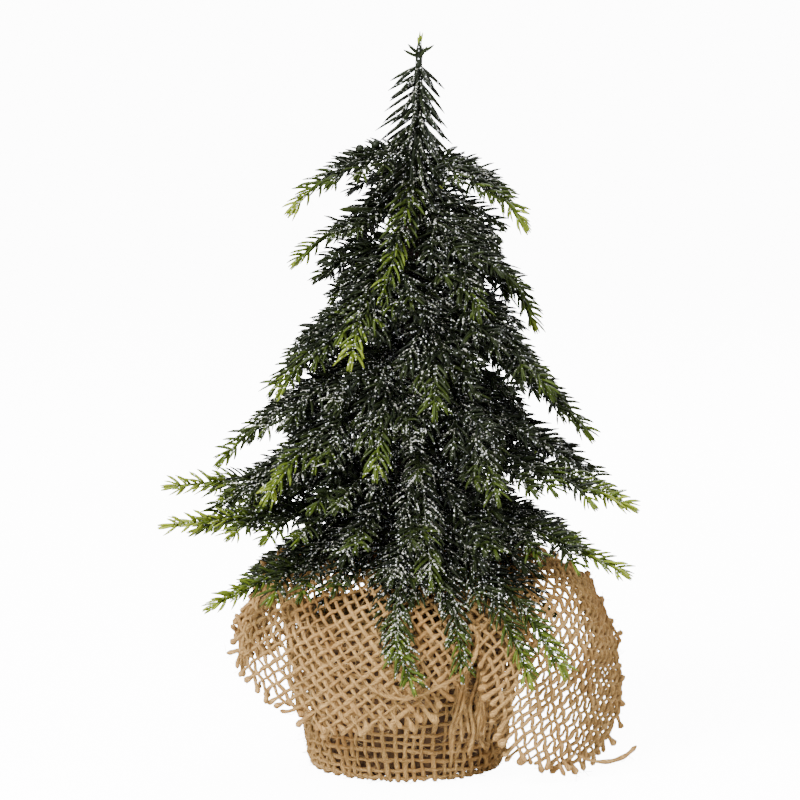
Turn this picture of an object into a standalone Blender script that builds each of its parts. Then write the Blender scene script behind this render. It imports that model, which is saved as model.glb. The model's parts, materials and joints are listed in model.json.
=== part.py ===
"""Artificial tabletop tree: wired needle branches on a taped wire trunk, in a weighted pot wrapped in burlap.

Metres, +Z up. The origin is the middle of the face the tree rests on, -Y is the front.
"""

import math
import random

import bmesh
import bpy
from mathutils import Vector

# --- fits
FIT_GAP = 0.0003            # clearance between pieces that touch
BRANCH_ROOT_GAP = 0.0009    # room for a stem's end to turn beside the tape

# --- pot and what fills it
POT_BOTTOM_RADIUS = 0.0245
POT_TOP_RADIUS = 0.0285
POT_HEIGHT = 0.040
POT_WALL = 0.0010
POT_FLOOR = 0.0014
POT_RIM_DEPTH = 0.006       # from the rim down to the plaster
PLASTER_CROWN = 0.0012      # how much higher the plaster stands at the wire
POT_SIDES = 32

# --- burlap
CLOTH_THICKNESS = 0.0014
NECK_RADIUS = 0.0080        # inside of the gathered neck
NECK_HEIGHT = 0.0050        # where the gathered neck starts, above the pot's rim
NECK_LENGTH = 0.0045        # the straight neck that the tie holds
CLOTH_SIDES = 64
FREE_STEPS = 6              # rows of the sheet beyond the neck
FLAPS = (                   # azimuth, half width (degrees), reach past the wall, change across, hem height
    (-116.0, 54.0, 0.0100, -0.0060, 0.0190),
    (-24.0, 34.0, 0.0170, 0.0100, 0.0035),
    (72.0, 38.0, 0.0150, 0.0000, 0.0180),
    (160.0, 34.0, 0.0150, 0.0000, 0.0280),
)
RUFFLE_LENGTH = 0.0090      # cloth beyond the neck, between the flaps
FOLD_LIFT = 0.0030          # how far the cloth rises above the neck before it turns down
FOLD_TURN = 0.7             # share of the lift that the cloth has turned through at the neck's edge
UNDER_FOLD = 0.55           # share of the pot's foot that lies flat before the sheet rounds it
SHOULDER_RADIUS = 0.62      # of the wall's, where the gathered cloth closes over the rim
SHOULDER_HEIGHT = 0.35      # of the neck's height, at the same place
HEM_SHOULDER = 0.84         # of the hem's radius, where a flap starts to fall
HEM_FALL = 0.98             # of the hem's radius, a third of the way down
HEM_FALL_SHARE = 0.35

# --- tie round the neck
TIE_RADIUS = 0.0007
TIE_LIFT = 0.0021           # middle of the tie, above the bottom of the neck

# --- trunk
TRUNK_SIDES = 12
WIRE_RADIUS = 0.0012
WIRE_FOOT_HEIGHT = 0.0060   # bottom of the wire, inside the plaster
TAPE_THICKNESS = 0.0006
TAPE_FOOT_GAP = 0.0020      # bare wire between the plaster and the tape
TRUNK_FOOT_X = -0.0035      # the trunk leans to +X from here
TRUNK_LEAN = 0.036          # metres of +X for each metre of height
LEADER_LENGTH = 0.0270      # the top sprig, from the tape's end to the tip of its bud
LEADER_SOCKET = 0.0060
TREE_HEIGHT = 0.2000

# --- branches
LOWEST_ROOT_LIFT = 0.0128   # from the top of the cloth's neck up to the lowest branch root
HIGHEST_ROOT_DROP = 0.0045  # from the top sprig's foot down to the highest branch root
LONGEST_BRANCH = 0.0700
STEM_RADIUS = 0.00060
STEM_TIP_RADIUS = 0.00035
NEEDLE_LENGTH = 0.0062
NEEDLE_RAKE = 38.0          # degrees between a needle and its stem
NEEDLE_PITCH = 0.0052       # along the stem
BARE_STEM = 0.0110          # no needles on the stem this near the trunk
BARE_STEPS = 2
TIP_SHORTENING = 0.35       # how much shorter the needles are at a branch's tip
NEEDLE_SPREAD = 0.08        # how much a needle's length varies

# --- top sprig
LEADER_SIDES = 8
LEADER_SKIN = 0.0006        # wall round the wire's end
LEADER_COLLAR = 0.0008      # above the socket, before the sprig narrows
LEADER_COLLAR_RADIUS = 0.0016
LEADER_STATIONS = 5
LEADER_RADIUS = 0.0013      # above the collar
LEADER_TOP_RADIUS = 0.0009
BUD_HEIGHT = 0.0050
BUD_RADIUS = 0.0008
BUD_NECK = 0.0008           # between the crown needles and the bud
LEADER_NEEDLE = 0.0105      # the lowest needles
LEADER_NEEDLE_TAPER = 0.07  # each station's needles are this share shorter
LEADER_DROOP = 38.0         # degrees below level
CROWN_NEEDLE = 0.0045
CROWN_RISE = 35.0           # degrees above level

# Each branch: azimuth, share of the height between the lowest and the highest root, share of the longest
# branch, then the stem's slope at its root and at its tip, in degrees above level.
TOP_BRANCHES = (
    (192, 1.000, 0.60, 10, -75),
    (-14, 0.985, 0.54, -5, -80),
    (92, 0.960, 0.52, 0, -75),
    (-98, 0.935, 0.63, -40, -85),
    (140, 0.915, 0.52, -5, -72),
    (42, 0.895, 0.56, 0, -80),
    (-54, 0.870, 0.58, -20, -80),
    (171, 0.845, 0.64, -25, -62),
)
UPPER_BRANCHES = (
    (8, 0.800, 0.66, 0, -80),
    (-124, 0.780, 0.66, -15, -78),
    (115, 0.755, 0.66, -5, -70),
    (66, 0.735, 0.66, -5, -70),
    (-72, 0.705, 0.70, -25, -82),
    (-29, 0.675, 0.74, -5, -72),
    (203, 0.655, 0.76, -5, -70),
    (152, 0.630, 0.74, -5, -66),
    (22, 0.605, 0.78, -5, -66),
)
MIDDLE_BRANCHES = (
    (-106, 0.580, 0.76, -25, -80),
    (-3, 0.555, 0.84, 0, -66),
    (98, 0.530, 0.80, -5, -60),
    (-50, 0.505, 0.80, -20, -74),
    (183, 0.480, 0.86, -5, -58),
    (50, 0.455, 0.84, -5, -58),
    (-142, 0.430, 0.80, -12, -60),
    (130, 0.405, 0.86, -5, -55),
    (12, 0.380, 0.97, 3, -62),
    (-80, 0.355, 0.82, -22, -76),
    (192, 0.330, 0.94, -5, -56),
)
LOWER_BRANCHES = (
    (80, 0.300, 0.92, -5, -48),
    (-12, 0.270, 0.96, -8, -35),
    (156, 0.245, 0.92, -8, -45),
    (-67, 0.215, 0.98, -18, -76),
    (174, 0.195, 0.98, -16, -8),
    (112, 0.170, 0.94, -6, -42),
    (33, 0.145, 0.96, -8, -36),
    (-112, 0.130, 0.70, -20, -60),
    (-22, 0.115, 0.98, -8, -36),
    (201, 0.100, 1.00, -12, -4),
    (62, 0.080, 0.92, -6, -42),
    (-92, 0.085, 0.95, -10, -76),
    (-53, 0.070, 0.94, -12, -74),
    (140, 0.035, 0.90, -8, -36),
    (-37, 0.025, 0.92, -4, -60),
    (216, 0.000, 0.92, -6, -36),
)


def makeMaterial(name, colour, roughness, metallic=0.0):
    material = bpy.data.materials.new(name)
    material.use_nodes = True
    shader = material.node_tree.nodes["Principled BSDF"]
    shader.inputs["Base Color"].default_value = (*colour, 1.0)
    shader.inputs["Roughness"].default_value = roughness
    shader.inputs["Metallic"].default_value = metallic
    return material


def makeObject(name, bm, material, location=(0.0, 0.0, 0.0), smooth=True):
    bmesh.ops.recalc_face_normals(bm, faces=bm.faces)
    mesh = bpy.data.meshes.new(name)
    bm.to_mesh(mesh)
    bm.free()
    mesh.materials.append(material)
    if smooth:
        mesh.shade_smooth()
        mesh.set_sharp_from_angle(angle=math.radians(35))
    piece = bpy.data.objects.new(name, mesh)
    piece.location = location
    bpy.context.collection.objects.link(piece)
    return piece


def addRing(bm, points):
    return [bm.verts.new(p) for p in points]


def bridge(bm, ringA, ringB):
    """Quads between two rings of the same count, or triangles where one is a single point."""
    count = max(len(ringA), len(ringB))
    for i in range(count):
        j = (i + 1) % count
        if len(ringA) == 1:
            bm.faces.new((ringA[0], ringB[i], ringB[j]))
        elif len(ringB) == 1:
            bm.faces.new((ringA[i], ringB[0], ringA[j]))
        else:
            bm.faces.new((ringA[i], ringB[i], ringB[j], ringA[j]))


def turned(profile, sides, axisAt=None):
    """A closed body turned from (radius, height) points, a zero radius being a point on the axis."""
    bm = bmesh.new()
    axisAt = axisAt or (lambda z: Vector((0.0, 0.0, z)))
    rings = []
    for radius, height in profile:
        centre = axisAt(height)
        if radius == 0.0:
            rings.append(addRing(bm, [centre]))
            continue
        angles = [math.tau * i / sides for i in range(sides)]
        rings.append(addRing(bm, [centre + radius * Vector((math.cos(a), math.sin(a), 0.0)) for a in angles]))
    closesOnAxis = profile[0][0] == 0.0 and profile[-1][0] == 0.0
    pairs = zip(rings, rings[1:] if closesOnAxis else rings[1:] + rings[:1])
    for ringA, ringB in pairs:
        bridge(bm, ringA, ringB)
    return bm


def trunkAxis(height):
    return Vector((TRUNK_FOOT_X + TRUNK_LEAN * height, 0.0, height))


# Heights and radii that the fits give
potFloorTop = CLOTH_THICKNESS + FIT_GAP + POT_FLOOR
potRim = CLOTH_THICKNESS + FIT_GAP + POT_HEIGHT
plasterTop = potRim - POT_RIM_DEPTH
tapeInner = WIRE_RADIUS + FIT_GAP
tapeOuter = tapeInner + TAPE_THICKNESS
neckHeight = potRim + NECK_HEIGHT
neckTop = neckHeight + NECK_LENGTH
leaderFoot = TREE_HEIGHT - LEADER_LENGTH
lowestRoot = neckTop + LOWEST_ROOT_LIFT
highestRoot = leaderFoot - HIGHEST_ROOT_DROP


def potRadius(height):
    share = (height - CLOTH_THICKNESS - FIT_GAP) / POT_HEIGHT
    return POT_BOTTOM_RADIUS + share * (POT_TOP_RADIUS - POT_BOTTOM_RADIUS)


def makePot(material):
    bottom = CLOTH_THICKNESS + FIT_GAP
    profile = [
        (0.0, bottom),
        (POT_BOTTOM_RADIUS, bottom),
        (POT_TOP_RADIUS, potRim),
        (POT_TOP_RADIUS - POT_WALL, potRim),
        (POT_BOTTOM_RADIUS - POT_WALL, potFloorTop),
        (0.0, potFloorTop),
    ]
    return makeObject("pot_cup", turned(profile, POT_SIDES), material)


def makePlaster(material):
    """The weight in the pot, cast round the wire's foot, with a slightly domed top."""
    bottom = potFloorTop + FIT_GAP
    bore = WIRE_RADIUS + FIT_GAP
    boreFloor = WIRE_FOOT_HEIGHT - FIT_GAP
    inside = [(potRadius(z) - POT_WALL - FIT_GAP, z) for z in (bottom, plasterTop)]
    bm = bmesh.new()
    angles = [math.tau * i / POT_SIDES for i in range(POT_SIDES)]

    def ringAt(radius, centre):
        return addRing(bm, [centre + radius * Vector((math.cos(a), math.sin(a), 0.0)) for a in angles])

    rings = [addRing(bm, [Vector((0.0, 0.0, bottom))])]
    rings += [ringAt(radius, Vector((0.0, 0.0, height))) for radius, height in inside]
    for height in (plasterTop + PLASTER_CROWN, boreFloor):
        rings.append(ringAt(bore, trunkAxis(height)))
    rings.append(addRing(bm, [trunkAxis(boreFloor)]))
    for ringA, ringB in zip(rings, rings[1:]):
        bridge(bm, ringA, ringB)
    return makeObject("plaster_weight", bm, material)


def makeTrunk(wire, tape):
    top = leaderFoot + LEADER_SOCKET - FIT_GAP
    profile = [(0.0, WIRE_FOOT_HEIGHT), (WIRE_RADIUS, WIRE_FOOT_HEIGHT), (WIRE_RADIUS, top), (0.0, top)]
    makeObject("trunk_wire", turned(profile, TRUNK_SIDES, trunkAxis), wire)
    tapeFoot = plasterTop + PLASTER_CROWN + TAPE_FOOT_GAP
    tapeTop = leaderFoot - FIT_GAP
    inner = tapeInner / math.cos(math.pi / TRUNK_SIDES)
    profile = [(tapeOuter, tapeFoot), (tapeOuter, tapeTop), (inner, tapeTop), (inner, tapeFoot)]
    makeObject("trunk_tape", turned(profile, TRUNK_SIDES, trunkAxis), tape)


def flapShape(azimuth):
    """How much this direction belongs to its nearest flap, from 0 to 1, and that flap's reach and hem."""
    def away(flap):
        return (azimuth - flap[0] + 180.0) % 360.0 - 180.0

    nearest = min(FLAPS, key=lambda flap: abs(away(flap)) / flap[1])
    _, halfWidth, reach, skew, hem = nearest
    across = max(-1.0, min(1.0, away(nearest) / halfWidth))
    return min(1.0, 1.3 * (1.0 - abs(across)) ** 0.75), reach + skew * across, hem


def alongPath(path, distance):
    """The point this far along a path of straight runs."""
    for start, end in zip(path, path[1:]):
        run = (end - start).length
        if distance <= run:
            return start + (distance / run) * (end - start)
        distance -= run
    return path[-1]


def clothSection(azimuth):
    """The cloth's inner face from under the pot to its free edge, as (radius, height) along one azimuth."""
    wallRadius = potRadius(potRim) + FIT_GAP
    footRadius = potRadius(CLOTH_THICKNESS + FIT_GAP) + FIT_GAP
    share, reach, lowest = flapShape(azimuth)
    section = [
        (footRadius * UNDER_FOLD, CLOTH_THICKNESS),
        (footRadius, CLOTH_THICKNESS),
        (footRadius + 0.5 * (wallRadius - footRadius), CLOTH_THICKNESS + 0.5 * POT_HEIGHT),
        (wallRadius, potRim + FIT_GAP),
        (SHOULDER_RADIUS * wallRadius, potRim + SHOULDER_HEIGHT * NECK_HEIGHT),
        (NECK_RADIUS, neckHeight),
        (NECK_RADIUS, neckTop),
    ]
    hem = wallRadius + 2.0 * CLOTH_THICKNESS + reach
    path = [Vector(p) for p in (
        section[-1],
        (NECK_RADIUS + FOLD_TURN * FOLD_LIFT, neckTop + FOLD_TURN * FOLD_LIFT),
        (0.5 * (NECK_RADIUS + hem), neckTop + FOLD_LIFT),
        (HEM_SHOULDER * hem, neckHeight),
        (HEM_FALL * hem, neckHeight - HEM_FALL_SHARE * (neckHeight - lowest)),
        (hem, lowest),
    )]
    whole = sum((end - start).length for start, end in zip(path, path[1:]))
    edge = RUFFLE_LENGTH + share * (whole - RUFFLE_LENGTH)
    return section + [tuple(alongPath(path, edge * i / FREE_STEPS)) for i in range(1, FREE_STEPS + 1)]


def makeCloth(material):
    """One square of burlap as a closed sheet: under the pot, up its wall, in at the neck, out in flaps."""
    bm = bmesh.new()
    azimuths = [360.0 * i / CLOTH_SIDES for i in range(CLOTH_SIDES)]
    sections = [clothSection(a) for a in azimuths]
    count = len(sections[0])

    def normal(section, k):
        before = Vector(section[max(k - 1, 0)])
        after = Vector(section[min(k + 1, count - 1)])
        along = (after - before).normalized()
        return Vector((along.y, -along.x))

    inner = [addRing(bm, [Vector((0.0, 0.0, CLOTH_THICKNESS))])]
    outer = [addRing(bm, [Vector((0.0, 0.0, 0.0))])]
    for k in range(count):
        innerPoints = []
        outerPoints = []
        for azimuth, section in zip(azimuths, sections):
            radius, height = section[k]
            turn = math.radians(azimuth)
            out = Vector((math.cos(turn), math.sin(turn), 0.0))
            side = normal(section, k) * CLOTH_THICKNESS
            if k == 0:
                side = Vector((0.0, -CLOTH_THICKNESS))
            elif k == 1:
                side = Vector((CLOTH_THICKNESS, -CLOTH_THICKNESS))
            innerPoints.append(out * radius + Vector((0.0, 0.0, height)))
            outerPoints.append(out * (radius + side.x) + Vector((0.0, 0.0, height + side.y)))
        inner.append(addRing(bm, innerPoints))
        outer.append(addRing(bm, outerPoints))
    for rings in (inner, outer):
        for ringA, ringB in zip(rings, rings[1:]):
            bridge(bm, ringA, ringB)
    bridge(bm, inner[-1], outer[-1])
    return makeObject("burlap_wrap", bm, material)


def makeTie(material):
    """A ring of twine drawn tight in the groove of the neck."""
    bm = bmesh.new()
    ringRadius = NECK_RADIUS + CLOTH_THICKNESS + FIT_GAP + TIE_RADIUS
    around = 28
    sides = 8
    rings = []
    for i in range(around):
        turn = math.tau * i / around
        out = Vector((math.cos(turn), math.sin(turn), 0.0))
        centre = out * ringRadius + Vector((0.0, 0.0, neckHeight + TIE_LIFT))
        angles = [math.tau * k / sides for k in range(sides)]
        rings.append(addRing(bm, [centre + TIE_RADIUS * (math.cos(a) * out + Vector((0, 0, math.sin(a))))
                                  for a in angles]))
    for i in range(around):
        bridge(bm, rings[i], rings[(i + 1) % around])
    return makeObject("neck_tie", bm, material)


def addNeedle(bm, corners, tipAt):
    """Draws one face of a stem out into a pointed needle."""
    tip = bm.verts.new(tipAt)
    for a, b in zip(corners, corners[1:] + corners[:1]):
        bm.faces.new((a, b, tip))


def middleOf(corners):
    return sum((v.co for v in corners), Vector()) / len(corners)


def stemPath(rise, droop, length, needled):
    """Points along a stem whose slope turns evenly from root to tip, and the slope at each, in radians."""
    lengths = [BARE_STEM / BARE_STEPS] * BARE_STEPS + [(length - BARE_STEM) / needled] * needled
    points = [Vector((0.0, 0.0, 0.0))]
    slopes = [math.radians(rise)]
    walked = 0.0
    for piece in lengths:
        middle = math.radians(rise + (droop - rise) * (walked + 0.5 * piece) / length)
        points.append(points[-1] + piece * Vector((math.cos(middle), 0.0, math.sin(middle))))
        walked += piece
        slopes.append(math.radians(rise + (droop - rise) * walked / length))
    return points, slopes


def stemRings(bm, points, slopes):
    """Square sections along the stem, with a corner on each diagonal, thinner towards the tip."""
    diagonals = [math.pi / 4 + i * math.pi / 2 for i in range(4)]
    side = Vector((0.0, 1.0, 0.0))
    rings = []
    for k, (point, slope) in enumerate(zip(points, slopes)):
        radius = STEM_RADIUS + (STEM_TIP_RADIUS - STEM_RADIUS) * k / (len(points) - 1)
        up = Vector((-math.sin(slope), 0.0, math.cos(slope)))
        corners = [point + radius * (math.cos(a) * side + math.sin(a) * up) for a in diagonals]
        rings.append(addRing(bm, corners))
    return rings


def makeBranch(name, row, material, seed):
    """A wired sprig: a square stem that tapers to its tip, with a needle raised from each side face."""
    azimuth, heightShare, lengthShare, rise, droop = row
    rng = random.Random(seed)
    length = lengthShare * LONGEST_BRANCH - NEEDLE_LENGTH
    needled = max(4, round((length - BARE_STEM) / NEEDLE_PITCH))
    points, slopes = stemPath(rise, droop, length, needled)
    bm = bmesh.new()
    rings = stemRings(bm, points, slopes)
    bm.faces.new(rings[0])
    rake = math.radians(NEEDLE_RAKE)
    for k in range(len(rings) - 1):
        along = (points[k + 1] - points[k]).normalized()
        middle = 0.5 * (points[k] + points[k + 1])
        for i in range(4):
            j = (i + 1) % 4
            corners = (rings[k][i], rings[k + 1][i], rings[k + 1][j], rings[k][j])
            if k < BARE_STEPS:
                bm.faces.new(corners)
                continue
            centre = middleOf(corners)
            out = (centre - middle).normalized()
            reach = NEEDLE_LENGTH * (1.0 - TIP_SHORTENING * (k - BARE_STEPS) / needled)
            reach *= rng.uniform(1.0 - NEEDLE_SPREAD, 1.0)
            addNeedle(bm, corners, centre + reach * (math.cos(rake) * along + math.sin(rake) * out))
    addNeedle(bm, rings[-1], points[-1] + NEEDLE_LENGTH * (points[-1] - points[-2]).normalized())
    height = lowestRoot + heightShare * (highestRoot - lowestRoot)
    turn = math.radians(azimuth)
    out = Vector((math.cos(turn), math.sin(turn), 0.0))
    hinge = trunkAxis(height) + (tapeOuter + BRANCH_ROOT_GAP) * out
    branch = makeObject(name, bm, material, hinge, smooth=False)
    branch.rotation_euler = (0.0, 0.0, turn)
    return branch


def leaderProfile():
    """(radius, height) up the outside of the top sprig, from its socket's mouth to the foot of its bud."""
    bore = (WIRE_RADIUS + FIT_GAP) / math.cos(math.pi / LEADER_SIDES)
    collar = leaderFoot + LEADER_SOCKET + LEADER_COLLAR
    budFoot = TREE_HEIGHT - BUD_HEIGHT
    crown = budFoot - BUD_NECK
    profile = [(bore + LEADER_SKIN, leaderFoot), (bore + LEADER_SKIN, leaderFoot + 0.5 * LEADER_SOCKET)]
    profile.append((LEADER_COLLAR_RADIUS, collar))
    for i in range(1, LEADER_STATIONS + 1):
        radius = LEADER_RADIUS + (LEADER_TOP_RADIUS - LEADER_RADIUS) * (i - 1) / (LEADER_STATIONS - 1)
        profile.append((radius, collar + (crown - collar) * i / LEADER_STATIONS))
    return profile + [(BUD_RADIUS, budFoot)]


def makeLeader(material):
    """The top sprig, moulded over the wire's end: drooping needles, a crown of short ones and a bud."""
    bm = bmesh.new()
    sides = LEADER_SIDES
    bore = (WIRE_RADIUS + FIT_GAP) / math.cos(math.pi / sides)
    socketTop = leaderFoot + LEADER_SOCKET

    def ringAt(radius, height):
        angles = [math.tau * i / sides for i in range(sides)]
        centre = trunkAxis(height)
        return addRing(bm, [centre + radius * Vector((math.cos(a), math.sin(a), 0.0)) for a in angles])

    hole = [addRing(bm, [trunkAxis(socketTop)]), ringAt(bore, socketTop), ringAt(bore, leaderFoot)]
    rings = [ringAt(radius, height) for radius, height in leaderProfile()]
    for ringA, ringB in zip(hole, hole[1:] + rings[:1]):
        bridge(bm, ringA, ringB)
    for k, (ringA, ringB) in enumerate(zip(rings, rings[1:])):
        isCrown = k == len(rings) - 2
        slope = math.radians(CROWN_RISE if isCrown else -LEADER_DROOP)
        reach = CROWN_NEEDLE if isCrown else LEADER_NEEDLE * (1.0 - LEADER_NEEDLE_TAPER * k)
        for i in range(sides):
            j = (i + 1) % sides
            corners = (ringA[i], ringB[i], ringB[j], ringA[j])
            if (i + k) % 2:
                bm.faces.new(corners)
                continue
            centre = middleOf(corners)
            out = centre - trunkAxis(centre.z)
            out.z = 0.0
            out.normalize()
            lift = Vector((0.0, 0.0, math.sin(slope)))
            addNeedle(bm, corners, centre + reach * (math.cos(slope) * out + lift))
    bridge(bm, rings[-1], addRing(bm, [trunkAxis(TREE_HEIGHT)]))
    return makeObject("leader_sprig", bm, material, smooth=False)


def makeTree():
    for old in list(bpy.data.objects):
        bpy.data.objects.remove(old, do_unlink=True)
    needles = makeMaterial("needles", (0.035, 0.055, 0.022), 0.55)
    burlap = makeMaterial("burlap", (0.46, 0.29, 0.14), 0.95)
    twine = makeMaterial("twine", (0.42, 0.28, 0.15), 0.95)
    tape = makeMaterial("floral_tape", (0.050, 0.028, 0.018), 0.80)
    steel = makeMaterial("steel_wire", (0.35, 0.35, 0.36), 0.45, 1.0)
    card = makeMaterial("pot", (0.080, 0.040, 0.022), 0.70)
    plaster = makeMaterial("plaster", (0.72, 0.70, 0.66), 0.90)
    makePot(card)
    makePlaster(plaster)
    makeCloth(burlap)
    makeTie(twine)
    makeTrunk(steel, tape)
    makeLeader(needles)
    crownFrame = bpy.data.objects.new("branches", None)
    bpy.context.collection.objects.link(crownFrame)
    rows = TOP_BRANCHES + UPPER_BRANCHES + MIDDLE_BRANCHES + LOWER_BRANCHES
    for number, row in enumerate(rows, start=1):
        branch = makeBranch(f"branch_{number:02d}", row, needles, seed=number)
        branch.parent = crownFrame


makeTree()
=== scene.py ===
import json
import math

import bpy
import numpy as np
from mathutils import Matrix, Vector


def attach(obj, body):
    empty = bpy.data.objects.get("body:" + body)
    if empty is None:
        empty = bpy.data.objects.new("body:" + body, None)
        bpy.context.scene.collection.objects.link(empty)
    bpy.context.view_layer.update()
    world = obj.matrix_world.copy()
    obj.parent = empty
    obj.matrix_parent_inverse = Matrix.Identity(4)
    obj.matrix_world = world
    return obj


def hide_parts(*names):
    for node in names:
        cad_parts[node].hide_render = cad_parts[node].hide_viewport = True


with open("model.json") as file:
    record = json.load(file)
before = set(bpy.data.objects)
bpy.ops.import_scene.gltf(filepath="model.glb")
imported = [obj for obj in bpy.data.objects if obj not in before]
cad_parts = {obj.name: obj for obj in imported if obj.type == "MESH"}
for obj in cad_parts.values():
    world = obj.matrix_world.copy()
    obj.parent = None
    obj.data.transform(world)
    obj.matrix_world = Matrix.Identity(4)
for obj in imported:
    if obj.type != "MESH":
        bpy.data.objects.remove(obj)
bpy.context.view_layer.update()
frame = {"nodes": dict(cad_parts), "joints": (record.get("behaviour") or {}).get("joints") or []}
print("frame loaded")

mm = 0.001
hinges = {joint["child"]: joint for joint in frame["joints"]}


# ---- mesh helpers

def newPile():
    return {"points": [], "faces": [], "count": 0, "values": {}}


def addPart(pile, points, faces, values):
    # faces is a list of integer arrays, one array for each number of corners
    for block in faces:
        if len(block):
            pile["faces"].append(np.asarray(block) + pile["count"])
    pile["points"].append(points)
    for name, value in values.items():
        pile["values"].setdefault(name, []).append(value)
    pile["count"] += len(points)


def meshFromPile(name, pile, material):
    points = np.concatenate(pile["points"])
    corners = np.concatenate([f.ravel() for f in pile["faces"]])
    sizes = np.concatenate([np.full(len(f), f.shape[1]) for f in pile["faces"]])
    mesh = bpy.data.meshes.new(name)
    mesh.vertices.add(len(points))
    mesh.vertices.foreach_set("co", points.astype(np.float32).ravel())
    mesh.loops.add(len(corners))
    mesh.loops.foreach_set("vertex_index", corners.astype(np.int32))
    mesh.polygons.add(len(sizes))
    starts = np.concatenate([[0], np.cumsum(sizes)[:-1]])
    mesh.polygons.foreach_set("loop_start", starts.astype(np.int32))
    for attribute, values in pile["values"].items():
        values = np.concatenate(values).astype(np.float32)
        kind, key = ("FLOAT_COLOR", "color") if values.shape[1] == 4 else ("FLOAT_VECTOR", "vector")
        mesh.attributes.new(attribute, kind, "POINT").data.foreach_set(key, values.ravel())
    mesh.update(calc_edges=True)
    mesh.validate()
    mesh.shade_smooth()
    mesh.materials.append(material)
    piece = bpy.data.objects.new(name, mesh)
    bpy.context.scene.collection.objects.link(piece)
    return piece


def unit(v):
    return v / np.maximum(np.linalg.norm(v, axis=-1, keepdims=True), 1e-12)


def ringFaces(rings, sides):
    # the walls between the rings of one tube, and its two end caps
    i = np.arange(sides)
    j = (i + 1) % sides
    step = np.arange(rings - 1)[:, None] * sides
    walls = np.stack([step + i, step + j, step + sides + j, step + sides + i], -1).reshape(-1, 4)
    return walls, np.stack([i[::-1], (rings - 1) * sides + i])


def tubes(paths, radii, ups, sides, flatness=1.0):
    # m closed tubes of n rings, ring by ring, from paths (m, n, 3), radii (m, n) and ups (m, n, 3)
    m, n, _ = paths.shape
    along = unit(np.gradient(paths, axis=1))
    across = unit(np.cross(along, ups))
    up = np.cross(across, along)
    turn = np.arange(sides) * math.tau / sides
    ring = (np.cos(turn)[None, None, :, None] * across[:, :, None, :]
            + flatness * np.sin(turn)[None, None, :, None] * up[:, :, None, :])
    points = (paths[:, :, None, :] + radii[:, :, None, None] * ring).reshape(-1, 3)
    walls, caps = ringFaces(n, sides)
    base = (np.arange(m) * n * sides)[:, None, None]
    return points, [(base + walls).reshape(-1, 4), (base + caps).reshape(-1, sides)]


def walkFrom(starts, steps):
    # one path of points from each start, by its row of steps; the first step is not taken
    walked = np.cumsum(steps[:, 1:], axis=1)
    return starts[:, None, :] + np.concatenate([np.zeros_like(steps[:, :1]), walked], 1)


def smoothNoise(a, b, seed, scale):
    # a gentle bump field from a few sine waves, about -1 to 1
    rng = np.random.default_rng(seed)
    total = 0.0
    for k in range(4):
        fa, fb, phase = rng.normal(), rng.normal(), rng.uniform(0, math.tau)
        total = total + np.sin((a * fa + b * fb) / scale + phase)
    return total / 2.6


# ---- shader groups

def newGroup(name, inputs, outputs):
    tree = bpy.data.node_groups.new(name, "ShaderNodeTree")
    for kind, label, value in inputs:
        item = tree.interface.new_socket(label, in_out="INPUT", socket_type=kind)
        item.default_value = value
    for kind, label in outputs:
        tree.interface.new_socket(label, in_out="OUTPUT", socket_type=kind)
    return tree, tree.nodes.new("NodeGroupInput"), tree.nodes.new("NodeGroupOutput")


def addNode(tree, kind, settings=None, **values):
    node = tree.nodes.new(kind)
    for key, value in (settings or {}).items():
        setattr(node, key, value)
    for key, value in values.items():
        socket = node.inputs[int(key[1:])] if key[1:].isdigit() else node.inputs[key.replace("_", " ")]
        if isinstance(value, bpy.types.NodeSocket):
            tree.links.new(value, socket)
        else:
            socket.default_value = value
    return node


def mathNode(tree, operation, a, b):
    return addNode(tree, "ShaderNodeMath", {"operation": operation}, s0=a, s1=b).outputs[0]


def mixColour(tree, factor, a, b):
    return addNode(tree, "ShaderNodeMix", {"data_type": "RGBA"}, s0=factor, s6=a, s7=b).outputs[2]


def rampNode(tree, value, low, high):
    return addNode(tree, "ShaderNodeMapRange", {"interpolation_type": "SMOOTHSTEP"},
                   s0=value, s1=low, s2=high, s3=0.0, s4=1.0).outputs[0]


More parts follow.
